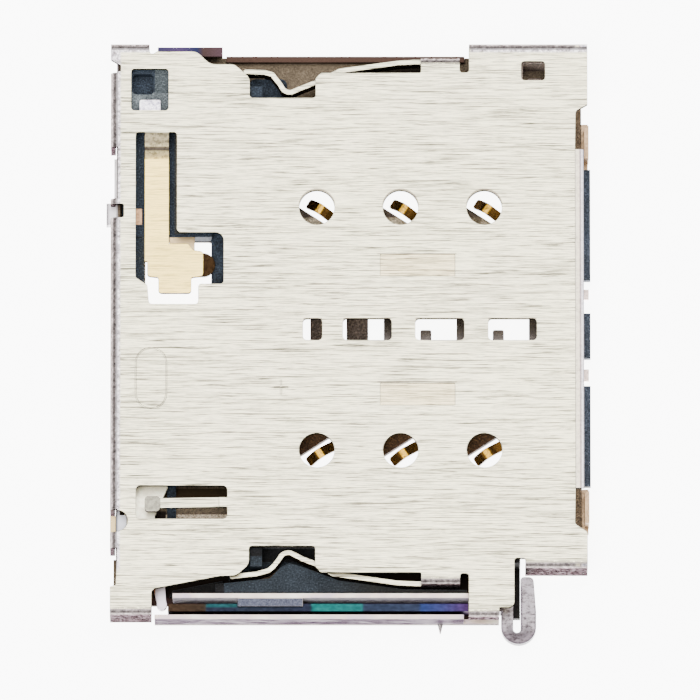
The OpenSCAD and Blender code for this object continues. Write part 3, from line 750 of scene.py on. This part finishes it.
class READER_OT_contacts(bpy.types.Operator):
    """Dress the six plated contacts and the two switch terminals"""
    bl_idname = "reader.contacts"
    bl_label = "Contacts"

    def execute(self, context):
        gold = tuple(context.scene.reader_finish.gold)
        dress([f"contact_{i + 1}" for i in range(CONTACT_COUNT)],
              plated_material("contact gold plating", gold, 0.3, 0.24, 14.0, contact_light_and_shade))
        dress(["detect_terminal"],
              plated_material("terminal dark bronze", (0.020, 0.011, 0.005), 0.6, 0.3, paint=terminal_tints))
        dress(["detect_return"], plated_material("terminal copper", (0.34, 0.20, 0.11), 0.75, 0.3))
        return {"FINISHED"}


class READER_OT_eject(bpy.types.Operator):
    """Dress the push rod, the lever and its rivet"""
    bl_idname = "reader.eject"
    bl_label = "Eject parts"

    def execute(self, context):
        beige = tuple(context.scene.reader_finish.lever)
        dress(["eject_rod"], rod_material())
        dress(["eject_lever"], plated_material("lever satin steel", beige, 0.9, 0.36, 8.0, lever_tints))
        dress(["lever_pivot"], plated_material("rivet turned steel", (0.55, 0.50, 0.56), 0.8, 0.3))
        return {"FINISHED"}


class READER_OT_tabs(bpy.types.Operator):
    """Dress the solder tabs and tails at the tray mouth"""
    bl_idname = "reader.tabs"
    bl_label = "Tabs and tails"

    def execute(self, context):
        dress(["front_tab_upper", "front_tab_lower"],
              plated_material("tab tinned strip", (0.35, 0.235, 0.14), 0.75, 0.34))
        dress(["front_tail_upper", "front_tail_lower"],
              plated_material("tail tinned strip", (0.74, 0.58, 0.52), 0.75, 0.34))
        return {"FINISHED"}


def stage_floor(scene):
    """Pale lit floor just below the board face, so that it doesn't cut into the part's bottom."""
    bm = bmesh.new()
    bmesh.ops.create_grid(bm, x_segments=1, y_segments=1, size=STAGE_HALF)
    mesh = bpy.data.meshes.new("stage_floor")
    bm.to_mesh(mesh)
    bm.free()
    mesh.transform(Matrix.Translation((0.0, 0.0, CAD_LOW.z - STAGE_GAP * MM)))
    floor = bpy.data.objects.new("stage_floor", mesh)
    scene.collection.objects.link(floor)
    n = Nodes("stage light table")
    n.feed(n.shader.inputs["Base Color"], scaled(WHITE, 0.9))
    n.feed(n.shader.inputs["Roughness"], 0.9)
    n.feed(n.shader.inputs["Emission Color"], WHITE)
    n.feed(n.shader.inputs["Emission Strength"], STAGE_GLOW)
    mesh.materials.append(n.mat)
    return floor


def stage_lamps(scene, target):
    """Large soft lights, all turned to the middle of the picture."""
    for name, spot, width, power in LAMPS:
        light = bpy.data.lights.new(name, "AREA")
        light.shape = "SQUARE"
        light.size = width
        light.energy = power
        lamp = bpy.data.objects.new(name, light)
        scene.collection.objects.link(lamp)
        lamp.location = spot
        lamp.rotation_mode = "QUATERNION"
        lamp.rotation_quaternion = (target - Vector(spot)).to_track_quat("-Z", "Y")


def stage_camera(scene, target, tilt):
    """Camera at the photo's angle, with as many millimetres across as the photo has."""
    lens = bpy.data.cameras.new("stage_camera")
    lens.lens = 1200.0
    lens.sensor_width = 36.0
    lens.clip_start = 0.01
    lens.clip_end = 10.0
    camera = bpy.data.objects.new("stage_camera", lens)
    scene.collection.objects.link(camera)
    away = Vector((0.0, -math.sin(tilt), math.cos(tilt)))
    width = PHOTO_PIXELS / PIXELS_PER_MM * MM
    camera.location = target + away * (width * lens.lens / lens.sensor_width)
    camera.rotation_mode = "QUATERNION"
    camera.rotation_quaternion = (-away).to_track_quat("-Z", "Y")
    scene.camera = camera
    return camera


class READER_OT_stage(bpy.types.Operator):
    """Set the pale floor, the soft lights and the camera"""
    bl_idname = "reader.stage"
    bl_label = "Stage"

    def execute(self, context):
        scene = context.scene
        floor = stage_floor(scene)
        world = bpy.data.worlds.new("stage_world")
        world.use_nodes = True
        sky = world.node_tree.nodes["Background"]
        sky.inputs["Color"].default_value = (*WHITE, 1.0)
        sky.inputs["Strength"].default_value = SKY_GLOW
        scene.world = world
        target = Vector((*PHOTO_MIDDLE, COVER_TOP)) * MM
        stage_lamps(scene, target)
        camera = stage_camera(scene, target, scene.reader_sizes.tilt)
        return {"FINISHED"}


class READER_PT_panel(bpy.types.Panel):
    bl_label = "Card tray reader"
    bl_idname = "READER_PT_panel"
    bl_space_type = "VIEW_3D"
    bl_region_type = "UI"
    bl_category = "Reader"

    def draw(self, context):
        column = self.layout.column()
        for step in OPERATORS:
            column.operator(step.bl_idname)
        for group in (context.scene.reader_finish, context.scene.reader_sizes):
            for key in group.__annotations__:
                column.prop(group, key)


OPERATORS = (READER_OT_cover, READER_OT_housing, READER_OT_floor_plate, READER_OT_contacts, READER_OT_eject,
             READER_OT_tabs, READER_OT_stage)
CLASSES = (ReaderFinish, ReaderSizes, *OPERATORS, READER_PT_panel)


def register():
    for item in CLASSES:
        bpy.utils.register_class(item)
    bpy.types.Scene.reader_finish = bpy.props.PointerProperty(type=ReaderFinish)
    bpy.types.Scene.reader_sizes = bpy.props.PointerProperty(type=ReaderSizes)


def unregister():
    del bpy.types.Scene.reader_sizes
    del bpy.types.Scene.reader_finish
    for item in reversed(CLASSES):
        bpy.utils.unregister_class(item)


def main():
    register()
    bpy.ops.reader.cover()
    bpy.ops.reader.housing()
    bpy.ops.reader.floor_plate()
    bpy.ops.reader.contacts()
    bpy.ops.reader.eject()
    bpy.ops.reader.tabs()
    bpy.ops.reader.stage()


if __name__ == "__main__":
    main()
